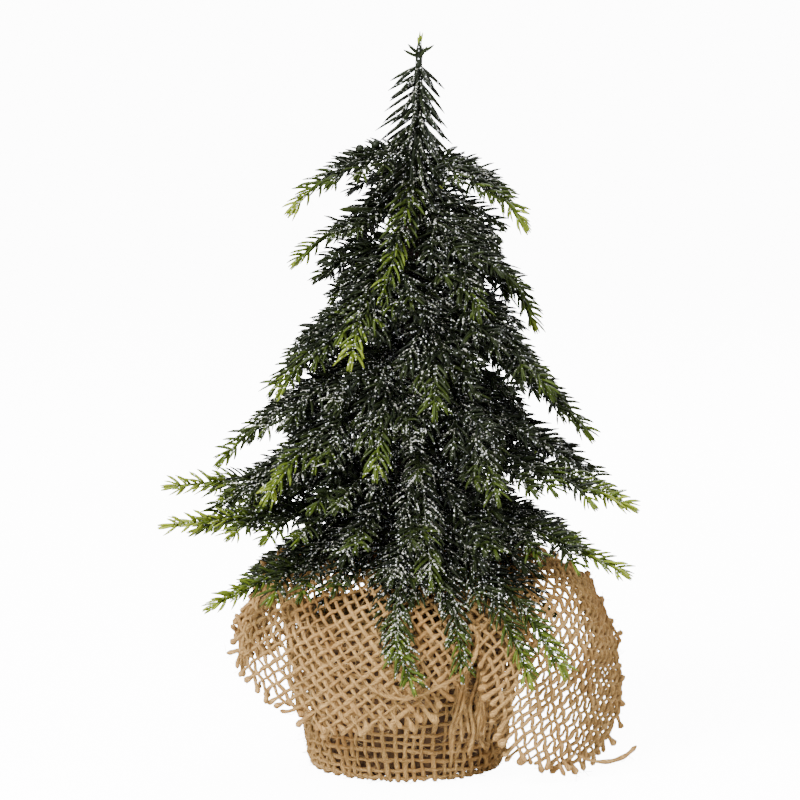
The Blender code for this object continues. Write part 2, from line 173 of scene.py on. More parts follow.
def makeFrostGroup():
    # grains of sprayed frost, thicker on what faces up
    tree, given, out = newGroup(
        "frostDust",
        [("NodeSocketFloat", "Amount", 0.5), ("NodeSocketFloat", "Grain per metre", 1500.0),
         ("NodeSocketFloat", "Up bias", 0.5)],
        [("NodeSocketFloat", "Frost"), ("NodeSocketFloat", "Glitter")])
    place = addNode(tree, "ShaderNodeTexCoord").outputs["Object"]
    normal = addNode(tree, "ShaderNodeNewGeometry").outputs["Normal"]
    facing = addNode(tree, "ShaderNodeSeparateXYZ", s0=normal)
    up = mathNode(tree, "MULTIPLY", facing.outputs[2], given.outputs["Up bias"])
    patches = addNode(tree, "ShaderNodeTexNoise", {"noise_dimensions": "3D"}, Vector=place, Scale=160.0,
                      Detail=2.0).outputs[0]
    grains = addNode(tree, "ShaderNodeTexNoise", Vector=place, Scale=given.outputs["Grain per metre"],
                     Detail=3.0, Roughness=0.65).outputs[0]
    level = mathNode(tree, "ADD", mathNode(tree, "MULTIPLY", up, 0.12), grains)
    level = mathNode(tree, "ADD", level, mathNode(tree, "MULTIPLY", patches, 0.35))
    edge = mathNode(tree, "SUBTRACT", 1.02, mathNode(tree, "MULTIPLY", given.outputs["Amount"], 0.42))
    level = mathNode(tree, "SUBTRACT", level, edge)
    frost = rampNode(tree, level, 0.0, 0.04)
    sparks = addNode(tree, "ShaderNodeTexVoronoi", Vector=place, Scale=1500.0)
    tint = addNode(tree, "ShaderNodeSeparateColor", s0=sparks.outputs["Color"]).outputs[0]
    chosen = mathNode(tree, "GREATER_THAN", mathNode(tree, "ADD", tint, given.outputs["Amount"]), 1.15)
    near = mathNode(tree, "LESS_THAN", sparks.outputs["Distance"], 0.33)
    tree.links.new(frost, out.inputs["Frost"])
    tree.links.new(mathNode(tree, "MULTIPLY", chosen, near), out.inputs["Glitter"])
    return tree


def makeFibreGroup():
    # twisted fibres of a jute yarn, laid along its own coordinates
    tree, given, out = newGroup(
        "twistedFibre",
        [("NodeSocketColor", "Dark fibre", (0.2, 0.1, 0.04, 1)),
         ("NodeSocketColor", "Light fibre", (0.6, 0.4, 0.2, 1)),
         ("NodeSocketColor", "Stained", (0.3, 0.14, 0.05, 1)), ("NodeSocketFloat", "Fibres", 1.0)],
        [("NodeSocketColor", "Colour"), ("NodeSocketFloat", "Height")])
    place = addNode(tree, "ShaderNodeAttribute", {"attribute_name": "fibreCoords"}).outputs["Vector"]
    world = addNode(tree, "ShaderNodeTexCoord").outputs["Object"]
    scale = mathNode(tree, "MULTIPLY", given.outputs["Fibres"], 2.6)
    strands = addNode(tree, "ShaderNodeTexNoise", Vector=place, Scale=scale, Detail=4.0,
                      Roughness=0.7).outputs[0]
    strands = rampNode(tree, strands, 0.30, 0.70)
    cloudy = addNode(tree, "ShaderNodeTexNoise", Vector=world, Scale=70.0, Detail=3.0).outputs[0]
    speck = addNode(tree, "ShaderNodeTexNoise", Vector=world, Scale=900.0, Detail=2.0).outputs[0]
    colour = mixColour(tree, strands, given.outputs["Dark fibre"], given.outputs["Light fibre"])
    colour = mixColour(tree, rampNode(tree, cloudy, 0.45, 0.75), colour, given.outputs["Stained"])
    colour = mixColour(tree, mathNode(tree, "MULTIPLY", rampNode(tree, speck, 0.55, 0.75), 0.45), colour,
                       given.outputs["Light fibre"])
    tree.links.new(colour, out.inputs["Colour"])
    tree.links.new(strands, out.inputs["Height"])
    return tree


def makeMottleGroup():
    # soft blotches with a fine grain
    tree, given, out = newGroup(
        "mottle",
        [("NodeSocketColor", "First", (0.1, 0.1, 0.1, 1)), ("NodeSocketColor", "Second", (0.2, 0.2, 0.2, 1)),
         ("NodeSocketFloat", "Size per metre", 120.0)],
        [("NodeSocketColor", "Colour"), ("NodeSocketFloat", "Grain")])
    place = addNode(tree, "ShaderNodeTexCoord").outputs["Object"]
    blotch = addNode(tree, "ShaderNodeTexNoise", Vector=place, Scale=given.outputs["Size per metre"],
                     Detail=5.0, Roughness=0.6).outputs[0]
    grain = addNode(tree, "ShaderNodeTexNoise", Vector=place, Scale=2200.0, Detail=2.0).outputs[0]
    tree.links.new(mixColour(tree, rampNode(tree, blotch, 0.35, 0.65), given.outputs["First"],
                             given.outputs["Second"]), out.inputs["Colour"])
    tree.links.new(grain, out.inputs["Grain"])
    return tree


frostGroup = makeFrostGroup()
fibreGroup = makeFibreGroup()
mottleGroup = makeMottleGroup()


def newMaterial(name, roughness, metallic=0.0):
    material = bpy.data.materials.new(name)
    material.use_nodes = True
    tree = material.node_tree
    shader = tree.nodes["Principled BSDF"]
    shader.inputs["Roughness"].default_value = roughness
    shader.inputs["Metallic"].default_value = metallic
    return material, tree, shader


def placeGroup(tree, group, **values):
    node = tree.nodes.new("ShaderNodeGroup")
    node.node_tree = group
    for key, value in values.items():
        socket = node.inputs[key.replace("_", " ")]
        if isinstance(value, bpy.types.NodeSocket):
            tree.links.new(value, socket)
        else:
            socket.default_value = value
    return node


def addBump(tree, shader, height, strength, distance):
    bump = addNode(tree, "ShaderNodeBump", Height=height, Strength=strength, Distance=distance)
    tree.links.new(bump.outputs[0], shader.inputs["Normal"])


needleLook = {
    # needle colours from the trunk outwards: dark and deep near-black, then fresh green, then tip
    # yellow-green; partly the needles' own colour, partly painted shade near the trunk and painted backlight
    # at the tips
    "dark": (0.003, 0.005, 0.002, 1),
    "deep": (0.009, 0.014, 0.003, 1),
    "fresh": (0.058, 0.090, 0.007, 1),
    "tip": (0.270, 0.320, 0.030, 1),
    "frost": (0.72, 0.71, 0.63, 1),
    "glitter": (0.9, 0.92, 0.95, 1),
    "roughness": 0.50,
    "shine": 0.16,
}


def makeNeedleMaterial():
    # sprigTone: how light the needle is out along the branch (partly the needles' own colour, partly painted
    # shade near the trunk and painted backlight at the tips), this needle's own shade, how far along the
    # needle, how frosted
    material, tree, shader = newMaterial("frostedNeedle", needleLook["roughness"])
    shader.inputs["Specular IOR Level"].default_value = needleLook["shine"]
    tone = addNode(tree, "ShaderNodeAttribute", {"attribute_name": "sprigTone"})
    parts = addNode(tree, "ShaderNodeSeparateColor", s0=tone.outputs["Color"])
    lightness, shade, along = parts.outputs[0], parts.outputs[1], parts.outputs[2]
    colour = mixColour(tree, shade, needleLook["dark"], needleLook["deep"])
    # near-black toward the trunk, fresh green further out: partly the needles' own colour and partly painted
    # shade inside the tree
    colour = mixColour(tree, rampNode(tree, lightness, 0.15, 0.70), colour, needleLook["fresh"])
    # yellow-green toward the tips: partly the needles' own tip colour and partly painted backlight shining
    # through the thin plastic
    tipColourAndBacklight = mathNode(tree, "MULTIPLY", rampNode(tree, lightness, 0.45, 1.0),
                     mathNode(tree, "ADD", mathNode(tree, "MULTIPLY", along, 0.7), 0.3))
    colour = mixColour(tree, tipColourAndBacklight, colour, needleLook["tip"])
    dust = placeGroup(tree, frostGroup, Amount=tone.outputs["Alpha"], Grain_per_metre=1500.0, Up_bias=1.0)
    colour = mixColour(tree, dust.outputs["Frost"], colour, needleLook["frost"])
    colour = mixColour(tree, dust.outputs["Glitter"], colour, needleLook["glitter"])
    tree.links.new(colour, shader.inputs["Base Color"])
    rough = mathNode(tree, "MULTIPLY", dust.outputs["Frost"], 0.3)
    rough = mathNode(tree, "ADD", rough, needleLook["roughness"])
    rough = mathNode(tree, "SUBTRACT", rough, mathNode(tree, "MULTIPLY", dust.outputs["Glitter"], 0.3))
    tree.links.new(rough, shader.inputs["Roughness"])
    addBump(tree, shader, dust.outputs["Frost"], 0.5, 0.0002)
    return material


def makeYarnMaterial(name, dark, light, stained, fibres):
    material, tree, shader = newMaterial(name, 0.95)
    shader.inputs["Specular IOR Level"].default_value = 0.15
    fibre = placeGroup(tree, fibreGroup, Dark_fibre=dark, Light_fibre=light, Stained=stained, Fibres=fibres)
    tree.links.new(fibre.outputs["Colour"], shader.inputs["Base Color"])
    addBump(tree, shader, fibre.outputs["Height"], 0.9, 0.00035)
    return material


def makeMottledMaterial(name, first, second, size, roughness, metallic=0.0, bump=0.3):
    material, tree, shader = newMaterial(name, roughness, metallic)
    mottle = placeGroup(tree, mottleGroup, First=first, Second=second, Size_per_metre=size)
    tree.links.new(mottle.outputs["Colour"], shader.inputs["Base Color"])
    addBump(tree, shader, mottle.outputs["Grain"], bump, 0.0002)
    return material


needleMaterial = makeNeedleMaterial()
jute = makeYarnMaterial("juteYarn", (0.19, 0.095, 0.030, 1), (0.80, 0.50, 0.19, 1), (0.38, 0.20, 0.065, 1),
                        1.0)
juteFuzz = makeMottledMaterial("juteFuzz", (0.42, 0.25, 0.10, 1), (0.68, 0.47, 0.22, 1), 90.0, 0.9)
twine = makeYarnMaterial("twine", (0.16, 0.08, 0.03, 1), (0.50, 0.32, 0.15, 1), (0.30, 0.17, 0.07, 1), 1.3)
tape = makeMottledMaterial("crepeTape", (0.016, 0.008, 0.005, 1), (0.050, 0.022, 0.012, 1), 300.0, 0.85,
                           bump=0.6)
steel = makeMottledMaterial("drawnWire", (0.30, 0.30, 0.31, 1), (0.42, 0.42, 0.43, 1), 500.0, 0.45,
                            metallic=1.0)
potBrown = makeMottledMaterial("potBrown", (0.085, 0.043, 0.016, 1), (0.22, 0.125, 0.052, 1), 420.0, 0.8)
cast = makeMottledMaterial("castPlaster", (0.62, 0.60, 0.56, 1), (0.74, 0.72, 0.68, 1), 80.0, 0.9)
print("materials made")


# ---- branches

# name: share of the longest branch, slope at root and tip (degrees), how light its tip is (partly the
# needles' own colour and partly painted light and shade), how frosted
sprigs = {
    "branch_01": (0.53, 10, -62, 0.85, 0.35), "branch_02": (0.51, 5, -70, 0.85, 0.55),
    "branch_03": (0.52, 0, -75, 0.40, 0.45), "branch_04": (0.58, -20, -100, 0.56, 0.36),
    "branch_05": (0.42, -15, -85, 0.50, 0.35), "branch_06": (0.56, 0, -80, 0.60, 0.55),
    "branch_07": (0.58, -20, -80, 0.30, 0.60), "branch_08": (0.50, 5, -55, 0.75, 0.25),
    "branch_09": (0.66, 0, -80, 0.70, 0.45), "branch_10": (0.66, -15, -78, 0.75, 0.50),
    "branch_11": (0.66, -5, -70, 0.40, 0.40), "branch_12": (0.66, -5, -70, 0.40, 0.40),
    "branch_13": (0.70, -25, -82, 0.30, 0.62), "branch_14": (0.74, -5, -72, 0.50, 0.60),
    "branch_15": (0.68, -8, -70, 0.60, 0.60), "branch_16": (0.74, -5, -66, 0.50, 0.35),
    "branch_17": (0.78, -5, -66, 0.60, 0.45), "branch_18": (0.76, -25, -80, 0.55, 0.60),
    "branch_19": (0.84, 0, -66, 0.45, 0.45), "branch_20": (0.80, -5, -60, 0.50, 0.40),
    "branch_21": (0.80, -20, -74, 0.30, 0.62), "branch_22": (0.86, -5, -58, 0.60, 0.65),
    "branch_23": (0.84, -5, -58, 0.50, 0.40), "branch_24": (0.80, -12, -60, 0.75, 0.55),
    "branch_25": (0.86, -5, -55, 0.55, 0.35), "branch_26": (0.97, 3, -62, 0.45, 0.55),
    "branch_27": (0.84, -26, -80, 0.45, 0.75), "branch_28": (0.94, -5, -56, 0.50, 0.70),
    "branch_29": (0.92, -5, -48, 0.55, 0.35), "branch_30": (0.93, -6, -30, 0.85, 0.45),
    "branch_31": (0.92, -8, -45, 0.60, 0.40), "branch_32": (1.00, -22, -90, 0.55, 0.72),
    "branch_33": (0.93, -12, -4, 1.00, 0.45), "branch_34": (0.94, -6, -42, 0.60, 0.35),
    "branch_35": (0.96, -8, -36, 0.70, 0.45), "branch_36": (0.98, -24, -78, 0.60, 0.65),
    "branch_37": (0.95, -5, -30, 0.80, 0.50), "branch_38": (0.95, -9, -1, 1.10, 0.45),
    "branch_39": (0.92, -6, -42, 0.60, 0.40), "branch_40": (0.82, -4, -80, 0.60, 0.70),
    "branch_41": (0.96, 10, -96, 0.70, 0.60), "branch_42": (0.90, -8, -36, 0.60, 0.35),
    "branch_43": (0.94, 4, -72, 0.75, 0.55), "branch_44": (0.88, -2, -27, 0.90, 0.35),
}
sprigShape = {
    "longest": 70 * mm, "tipNeedle": 6.2 * mm,
    "stemRadius": 0.75 * mm, "stemTipRadius": 0.35 * mm, "stemRings": 26,
    "pitch": 1.62 * mm, "bareStem": 2.0 * mm,
    "needle": 8.1 * mm, "needleRadius": 0.45 * mm, "needleRings": 5,
    "rakeAtFoot": 60.0, "rakeAtTip": 34.0, "straighten": 0.58, "shorten": 0.96,
    "shoots": ((0.01, 1, 80), (0.03, -1, 74), (0.06, 1, 56), (0.10, -1, 54), (0.20, 1, 42), (0.27, -1, 42),
               (0.38, 1, 37), (0.47, -1, 37), (0.58, 1, 34), (0.68, -1, 34)),
    "shootLength": 0.56, "frostShare": 0.66, "leastFrost": 0.5, "leastLight": 0.45,
    # branches rooted above this have no side shoots at the very root
    "openAbove": 0.148,
    # sideways bend of each branch whose bend is known
    "sway": {"branch_04": -0.30, "branch_40": 0.00, "branch_41": 0.22, "branch_32": 0.00,
            "branch_43": 0.00, "branch_36": 0.62},
    # lit along their whole length, not only at the tip
    "evenlyLit": ("branch_04",),
    # how far out the slim branches carry side shoots
    "slim": {"branch_01": 0.42, "branch_02": 0.50, "branch_04": 0.05, "branch_05": 0.25,
            "branch_08": 0.30, "branch_27": 0.50, "branch_32": 0.50, "branch_36": 0.30,
            "branch_40": 0.30, "branch_41": 0.30, "branch_43": 0.40},
}


def stemLine(start, out, length, rise, droop, sway, rings):
    # a line of even pieces that turns from one slope to the other, with a slow sideways sway
    up = np.array([0.0, 0.0, 1.0])
    side = np.cross(up, out)
    t = np.linspace(0, 1, rings)
    slope = np.radians(rise + (droop - rise) * t)
    step = np.cos(slope)[:, None] * out + np.sin(slope)[:, None] * up + (sway * t)[:, None] * side
    step = unit(step) * length / (rings - 1)
    return np.vstack([start, start + np.cumsum(0.5 * (step[1:] + step[:-1]), axis=0)])


def addStem(pile, line, frost, light):
    radii = np.linspace(sprigShape["stemRadius"], sprigShape["stemTipRadius"], len(line))
    ups = np.tile([0.0, 0.0, 1.0], (1, len(line), 1)) + 1e-3
    points, faces = tubes(line[None], radii[None], ups, 6)
    tone = np.zeros((len(points), 4))
    # the stem gets lighter out toward its end: partly its own colour and partly painted shade near the trunk
    tone[:, 0] = np.repeat(light * np.linspace(0, 0.7, len(line)) ** 1.5, 6)
    tone[:, 1] = 0.8
    tone[:, 3] = frost
    addPart(pile, points, faces, {"sprigTone": tone})


def addNeedles(pile, line, rng, bare, light, frost, size=1.0, fading=2.0):
    total = np.linalg.norm(np.diff(line, axis=0), axis=1).sum()
    stations = max(3, int((total - bare) / sprigShape["pitch"]))
    at = np.linspace(bare / total, 1.0, stations)
    t = np.linspace(0, 1, len(line))
    centre = np.stack([np.interp(at, t, line[:, k]) for k in range(3)], 1)
    along = unit(np.stack([np.interp(at, t, np.gradient(line[:, k])) for k in range(3)], 1))
    side = unit(np.cross(np.array([0.0, 0.0, 1.0]) + 1e-4, along))
    up = np.cross(along, side)
    # most needles lie to the two sides, fewer above, and a few short ones below
    fan = ((8, 172, 62), (-16, 196, 118, 295), (22, 158, 90), (-4, 184, 48, 240))
    centres, outs, alongs, lengths, places = [], [], [], [], []
    for k in range(stations):
        for angle in fan[k % 4]:
            a = math.radians(angle + rng.normal(0, 9))
            out = math.cos(a) * side[k] + math.sin(a) * up[k]
            reach = 1.0 if math.sin(a) < 0.6 else 0.82
            if math.sin(a) < -0.5:
                reach = 0.62
            centres.append(centre[k] + along[k] * rng.uniform(-0.4, 0.4) * mm)
            outs.append(out)
            alongs.append(along[k])
            lengths.append(reach * (1.0 - 0.24 * at[k] ** 2) * rng.uniform(0.84, 1.10))
            places.append(at[k])
    for k in range(5):     # the tuft at the tip
        a = math.tau * k / 5 + rng.uniform(0, 1)
        spread = 0.22 if k else 0.0
        centres.append(line[-1])
        outs.append(spread * (math.cos(a) * side[-1] + math.sin(a) * up[-1]) + (1 - spread) * along[-1])
        alongs.append(along[-1])
        lengths.append(0.68)
        places.append(1.0)
    centres, outs, alongs = map(np.array, (centres, outs, alongs))
    places = np.array(places)
    lengths = np.array(lengths) * sprigShape["needle"] * size
    rings = sprigShape["needleRings"]
    s = np.linspace(0, 1, rings)
    rake = np.radians(sprigShape["rakeAtFoot"] + rng.normal(0, 6, len(centres))[:, None]
                      + (sprigShape["rakeAtTip"] - sprigShape["rakeAtFoot"]) * s[None, :])
    step = np.cos(rake)[..., None] * alongs[:, None, :] + np.sin(rake)[..., None] * outs[:, None, :]
    step[:, :, 2] -= 0.10 * s[None, :]
    step = unit(step) * (lengths / (rings - 1))[:, None, None]
    paths = walkFrom(centres, step)
    profile = np.interp(s, [0, 0.25, 0.75, 1], [0.85, 1.0, 0.86, 0.26])
    radii = sprigShape["needleRadius"] * size * profile[None, :]
    radii = radii * rng.uniform(0.85, 1.1, len(centres))[:, None]
    ups = np.tile(np.cross(outs, alongs)[:, None, :], (1, rings, 1))
    points, faces = tubes(paths, radii, ups, 4, flatness=0.8)
    count = len(centres)
    tone = np.zeros((count, rings, 4, 4))
    # needle lightness grows toward the branch tip: partly the needles' own colour, partly painted shade near
    # the trunk and painted backlight at the tip
    tone[..., 0] = (light * places ** fading * rng.uniform(0.75, 1.15, count))[:, None, None]
    tone[..., 1] = rng.uniform(0, 1, count)[:, None, None]
    tone[..., 2] = s[None, :, None]
    tone[..., 3] = (frost * rng.uniform(0.55, 1.2, count))[:, None, None]
    addPart(pile, points, faces, {"sprigTone": tone.reshape(-1, 4)})


def addKnob(pile, foot, heading, length, radius, headRadius, light):
    # a short stub with a rounded glue bead on its end, or a plain round-ended peg
    n = 16
    s = np.linspace(0, 1, n)
    line = foot + unit(heading)[None, :] * (length * s)[:, None]
    radii = radius + (headRadius - radius) * np.clip((s - 0.45) / 0.25, 0, 1)
    radii = radii * np.sqrt(np.clip(1 - np.clip((s - 0.72) / 0.28, 0, 1) ** 2, 0.01, 1))
    points, faces = tubes(line[None], radii[None], np.tile([0.1, 0.2, 1.0], (1, n, 1)), 12)
    tone = np.zeros((len(points), 4))
    tone[:, 0] = np.repeat(light * s, 12)
    tone[:, 1] = 0.5
    tone[:, 2] = 1.0
    tone[:, 3] = 0.12
    addPart(pile, points, faces, {"sprigTone": tone})


# glue beads and the bare peg: where each starts on its branch, its direction, length, two radii, lightness
stubs = {
    "branch_01": ((0.22, (-0.5, -0.5, 0.75), 4.4 * mm, 0.5 * mm, 1.3 * mm, 0.15),
                  (0.34, (-0.6, -0.4, 0.65), 4.6 * mm, 0.5 * mm, 1.25 * mm, 0.15)),
    "branch_06": ((0.18, (0.4, -0.7, 0.6), 4.2 * mm, 0.5 * mm, 1.2 * mm, 0.75),),
    "branch_08": ((0.10, (-0.85, -0.50, 0.04), 17.0 * mm, 0.72 * mm, 0.82 * mm, 0.35),),
}


def outOf(joint):
    x, y, _ = joint["axis"]
    return unit(np.array([-y, x, 0.0]))


def makeSprig(name, number):
    share, rise, droop, light, frost = sprigs[name]
    light = max(light, sprigShape["leastLight"])
    frost = max(frost, sprigShape["leastFrost"]) * sprigShape["frostShare"]
    middle = 0.5 * (rise + droop)
    rise = middle + sprigShape["straighten"] * (rise - middle)
    droop = middle + sprigShape["straighten"] * (droop - middle)
    root = np.array(hinges[name]["pos_m"])
    rng = np.random.default_rng(100 + number)
    length = share * sprigShape["longest"] * sprigShape["shorten"] - 0.5 * sprigShape["tipNeedle"]
    pile = newPile()
    rings = sprigShape["stemRings"]
    sway = sprigShape["sway"].get(name, rng.normal(0, 0.10))
    line = stemLine(root, outOf(hinges[name]), length, rise, droop, sway, rings)
    addStem(pile, line, frost, light)
    fading = 0.2 if name in sprigShape["evenlyLit"] else 2.0
    addNeedles(pile, line, rng, sprigShape["bareStem"], light, frost, fading=fading)
    for start, turn, angle in sprigShape["shoots"]:
        isOpen = start < 0.05 and root[2] > sprigShape["openAbove"]
        if isOpen or start > sprigShape["slim"].get(name, 1.0):
            continue
        at = int(start * (rings - 1))
        along = unit(line[at + 1] - line[at])
        side = unit(np.cross([0.0, 0.0, 1.0], along))
        angle = math.radians(angle + rng.normal(0, 6))
        heading = math.cos(angle) * along + turn * math.sin(angle) * side
        flat = np.array([heading[0], heading[1], 0.0])
        slope = math.degrees(math.atan2(heading[2], np.linalg.norm(flat)))
        shootLength = length * (1 - start) * sprigShape["shootLength"] * rng.uniform(0.9, 1.15)
        shoot = stemLine(line[at], unit(flat), shootLength, slope + 4, max(-80, slope - 22), 0.0, 10)
        addStem(pile, shoot, frost, 0.0)
        # shoots nearer the trunk get darker needles: partly their own colour and partly painted shade inside
        # the tree
        addNeedles(pile, shoot, rng, 0.8 * mm, light * (0.35 + 0.5 * start), frost, size=0.92, fading=fading)
    for start, heading, stubLength, radius, headRadius, lightness in stubs.get(name, ()):
        foot = line[int(start * (rings - 1))]
        addKnob(pile, foot, np.array(heading), stubLength, radius, headRadius, lightness)
    piece = meshFromPile("sprig_" + name[-2:], pile, needleMaterial)
    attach(piece, name)
    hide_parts(name)


for number, name in enumerate(sprigs):
    makeSprig(name, number)
print("sprigs made:", len(sprigs))


# ---- top sprig

leaderShape = {
    "foot": 157.0 * mm, "top": 200.0 * mm, "footX": -3.5 * mm, "lean": 0.036,
    "tiers": 15, "tierFoot": 160.5 * mm, "tierTop": 190.5 * mm,
    "longNeedle": 17.0 * mm, "shortNeedle": 8.6 * mm, "needleRadius": 0.56 * mm,
    "crown": 194.2 * mm, "crownNeedles": 6, "crownNeedle": 4.6 * mm, "bud": 196.0 * mm,
}


def trunkAt(height):
    return np.array([leaderShape["footX"] + leaderShape["lean"] * height, 0.0, height])


def curvedNeedles(pile, feet, headings, lengths, radius, bend, rng, light, frost):
    rings = 7
    s = np.linspace(0, 1, rings)
    step = headings[:, None, :] + np.array([0.0, 0.0, -1.0]) * (bend * s)[None, :, None]
    step = unit(step) * (lengths / (rings - 1))[:, None, None]
    paths = walkFrom(feet, step)
    radii = radius * np.interp(s, [0, 0.3, 0.75, 1], [0.8, 1.0, 0.8, 0.15])[None, :] * np.ones((len(feet), 1))
    ups = np.tile([0.0, 0.0, 1.0], (len(feet), rings, 1)) + 0.01
    points, faces = tubes(paths, radii, ups, 6)
    tone = np.zeros((len(feet), rings, 6, 4))
    tone[..., 0] = light
    tone[..., 1] = rng.uniform(0, 1, len(feet))[:, None, None]
    tone[..., 2] = s[None, :, None]
    tone[..., 3] = frost
    addPart(pile, points, faces, {"sprigTone": tone.reshape(-1, 4)})


def makeLeader():
    shape = leaderShape
    rng = np.random.default_rng(7)
    pile = newPile()
    heights = np.linspace(shape["foot"], shape["top"], 30)
    line = np.stack([trunkAt(z) for z in heights])
    t = np.linspace(0, 1, 30)
    radii = np.interp(t, [0, 0.35, 0.45, 0.82, 0.86, 0.92, 1], [2.5, 2.4, 1.4, 0.95, 1.1, 0.62, 0.10]) * mm
    radii = radii * (1 + 0.06 * np.sin(t * 60))
    points, faces = tubes(line[None], radii[None], np.tile([0.0, 1.0, 0.0], (1, 30, 1)), 12)
    tone = np.zeros((len(points), 4))
    tone[:, 0] = np.repeat(np.interp(t, [0, 0.9, 1], [0.0, 0.1, 0.9]), 12)
    tone[:, 2] = np.repeat(t, 12)
    tone[:, 1] = 0.3
    tone[:, 3] = 0.3
    addPart(pile, points, faces, {"sprigTone": tone})
    feet, headings, lengths = [], [], []
    for k in range(shape["tiers"]):
        share = k / (shape["tiers"] - 1)
        height = shape["tierFoot"] + share * (shape["tierTop"] - shape["tierFoot"])
        ring = 9 if share < 0.55 else 7
        for i in range(ring):
            azimuth = math.radians(360 / ring * (i + 0.5 * (k % 2)) + rng.normal(0, 6))
            out = np.array([math.cos(azimuth), math.sin(azimuth), 0.0])
            drop = math.radians(30 + 14 * (0.5 + 0.5 * out[0]) + rng.normal(0, 5))
            feet.append(trunkAt(height) + out * 0.6 * mm)
            headings.append(math.cos(drop) * out - math.sin(drop) * np.array([0, 0, 1.0]))
            lengths.append(shape["longNeedle"] + share * (shape["shortNeedle"] - shape["longNeedle"]))
    lengths = np.array(lengths) * rng.uniform(0.92, 1.08, len(feet))
    curvedNeedles(pile, np.array(feet), np.array(headings), lengths, shape["needleRadius"], 0.14,
                  rng, 0.10, 0.40)
    feet, headings = [], []
    count = shape["crownNeedles"]
    for i in range(count):
        azimuth = math.radians(360 / count * i + 12 + rng.normal(0, 8))
        rise = math.radians(24 + rng.normal(0, 8))
        out = np.array([math.cos(azimuth), math.sin(azimuth), 0.0])
        feet.append(trunkAt(shape["crown"] - (i % 2) * 0.9 * mm) + out * 0.5 * mm)
        headings.append(math.cos(rise) * out + math.sin(rise) * np.array([0, 0, 1.0]))
    curvedNeedles(pile, np.array(feet), np.array(headings), np.full(count, shape["crownNeedle"]), 0.5 * mm,
                  -0.25, rng, 0.25, 0.2)
    headings = np.array([[0.25, 0.1, 1.0], [-0.2, -0.1, 1.0]])
    curvedNeedles(pile, np.array([trunkAt(shape["bud"])] * 2), headings, np.array([3.9, 2.6]) * mm, 0.36 * mm,
                  0.0, rng, 0.85, 0.1)
    piece = meshFromPile("leader_top", pile, needleMaterial)
    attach(piece, "tree")
    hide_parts("leader_sprig")


makeLeader()
print("leader made")


# ---- trunk tape, wound in a spiral

tapeShape = {
    "foot": 38.9 * mm, "top": 172.7 * mm, "radius": 2.05 * mm, "ridge": 0.16 * mm,
    "turn": 4.2 * mm, "crumple": 0.03 * mm, "sides": 20, "rings": 420,
}


def makeTape():
    shape = tapeShape
    z = np.linspace(shape["foot"], shape["top"], shape["rings"])
    turn = np.arange(shape["sides"]) * math.tau / shape["sides"]
    phase = (z[:, None] / shape["turn"] + turn[None, :] / math.tau) % 1.0
    radius = shape["radius"] + shape["ridge"] * (phase - 0.5)
    radius = radius + shape["crumple"] * np.sin(9 * turn[None, :] + z[:, None] * 2600)
    centre = np.stack([trunkAt(h) for h in z])
    points = centre[:, None, :] + radius[..., None] * np.stack(
        [np.cos(turn), np.sin(turn), np.zeros(len(turn))], 1)[None]
    pile = newPile()
    addPart(pile, points.reshape(-1, 3), ringFaces(shape["rings"], shape["sides"]), {})
    piece = meshFromPile("trunk_wrap", pile, tape)
    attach(piece, "tree")
    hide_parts("trunk_tape")


makeTape()

frame["nodes"]["pot_cup"].data.materials[0] = potBrown
frame["nodes"]["plaster_weight"].data.materials[0] = cast
frame["nodes"]["trunk_wire"].data.materials[0] = steel
print("trunk and pot finished")


# ---- burlap

clothShape = {
    "wallFoot": 26.2 * mm, "wallTop": 32.6 * mm, "rim": 42.0 * mm, "wallFootHeight": 2.0 * mm,
    "hem": 31.6 * mm, "bodyYarns": 68,
    "neck": 8.7 * mm, "neckFoot": 46.7 * mm, "neckTop": 51.2 * mm,
    "shoulder": 18.0 * mm, "shoulderHeight": 43.6 * mm,
    "ruffle": 9.0 * mm, "pitch": 2.6 * mm, "yarn": 0.54 * mm, "wave": 0.36 * mm,
    "flat": (0.190, 0.190),
}
# azimuth, half width (degrees), reach past the wall, its change across, hem height, weave's turn (degrees),
# how high its first and last side stand over the neck, how much the hem climbs to each of them, yarn pitch
flaps = (
    (-119.0, 60.0, 10.0 * mm, -5.5 * mm, 17.0 * mm, 45.0, 11.0 * mm, 2.5 * mm, 20.0 * mm, 9.0 * mm, 2.6 * mm),
    (-23.0, 37.0, 19.0 * mm, 12.0 * mm, 3.5 * mm, 8.0, 0.5 * mm, 7.5 * mm, 9.0 * mm, 13.0 * mm, 2.65 * mm),
    (72.0, 38.0, 15.0 * mm, 0.0, 18.0 * mm, 45.0, 4.0 * mm, 4.0 * mm, 4.0 * mm, 4.0 * mm, 2.9 * mm),
    (160.0, 34.0, 15.0 * mm, 0.0, 28.0 * mm, 40.0, 4.0 * mm, 5.0 * mm, 0.0, 0.0, 2.9 * mm),
)
# folds down the wall: azimuth, half width (degrees), height, how far down it reaches
wallFolds = (
    (-57, 8, 3.0 * mm, 0.15), (-75, 4, 1.0 * mm, 0.0), (-40, 5, 1.6 * mm, 0.3),
    (-128, 8, 1.2 * mm, 0.3), (15, 8, 1.5 * mm, 0.2), (100, 9, 1.8 * mm, 0.1),
    (170, 9, 1.6 * mm, 0.2), (-165, 8, 1.2 * mm, 0.3), (55, 6, 1.1 * mm, 0.3),
)

yarnPile = newPile()
fringePile = newPile()


